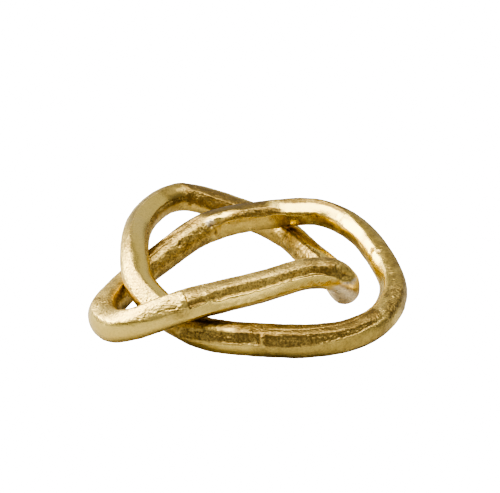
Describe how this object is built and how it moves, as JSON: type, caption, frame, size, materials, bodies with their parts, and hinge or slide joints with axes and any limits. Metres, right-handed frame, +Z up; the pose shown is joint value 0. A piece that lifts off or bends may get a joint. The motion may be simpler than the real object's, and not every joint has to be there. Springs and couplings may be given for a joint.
{
  "type": "cast brass knot",
  "caption": "Heavy round brass bar bent and welded into a closed trefoil knot that lies flat, as a paperweight, shelf ornament or hand puzzle.",
  "frame": {"origin": "middle of the knot's outline on the surface it lies on", "axes": "+Z up out of that surface, +X to the right along the knot's longest side, +Y away from the front bar towards the back lobe"},
  "size_m": [0.1892, 0.1822, 0.0397],
  "materials": {
    "brass": "rough sand-cast, softly buffed on its high parts"
  },
  "bodies": {
    "root": {"left_lobe": "brass", "bottom_bar": "brass", "right_arc": "brass", "top_arc": "brass", "left_end_loop": "brass", "front_bar": "brass", "knee_bar": "brass", "back_bar": "brass", "weld_1": "brass", "weld_2": "brass", "weld_3": "brass", "weld_4": "brass", "weld_5": "brass", "weld_6": "brass", "weld_7": "brass", "weld_8": "brass"}
  },
  "joints": []
}
